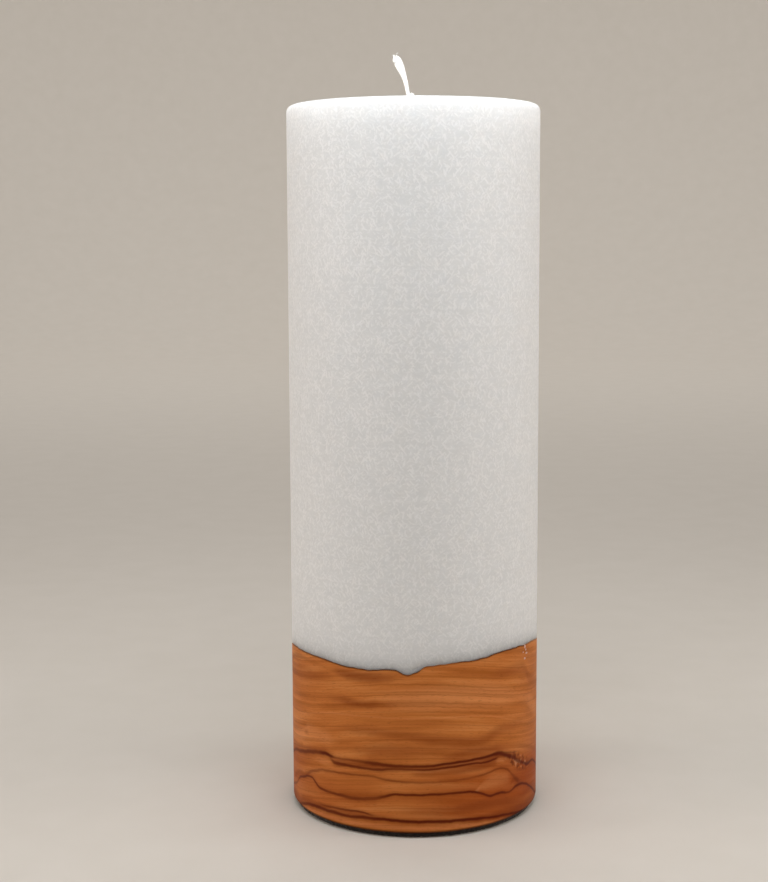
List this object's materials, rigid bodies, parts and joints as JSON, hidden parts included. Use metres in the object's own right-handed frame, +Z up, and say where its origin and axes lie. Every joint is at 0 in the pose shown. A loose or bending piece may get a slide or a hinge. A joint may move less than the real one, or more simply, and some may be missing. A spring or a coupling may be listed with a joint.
{
  "type": "pillar candle",
  "caption": "Tall round pillar candle of white crystalline wax cast flush onto a turned olive wood base with a natural edge, with a flat braided cotton wick.",
  "frame": {"origin": "on the table surface, under the centre of the candle's base", "axes": "+Z up along the candle's axis; the candle is seen from -Y, with +X to the right"},
  "size_m": [0.08, 0.08, 0.2408],
  "materials": {
    "olive_wood": "turned, sanded and oiled, satin",
    "stearin_wax": "cast stearin wax, matt, frosted with fine needle crystals",
    "cotton_braid": "flat braided cotton, waxed",
    "tinplate": "pressed tinplate, bright",
    "hot_melt_glue": "hot melt glue, milky",
    "zinc_plated_steel": "zinc plated, satin",
    "wool_felt": "pressed wool felt, dark brown"
  },
  "bodies": {
    "root": {"wood_base": "olive_wood", "wax_body": "stearin_wax", "wick": "cotton_braid", "wick_holder": "tinplate", "glue_dot": "hot_melt_glue", "anchor_screws": "zinc_plated_steel", "foot_pad": "wool_felt"}
  },
  "joints": []
}
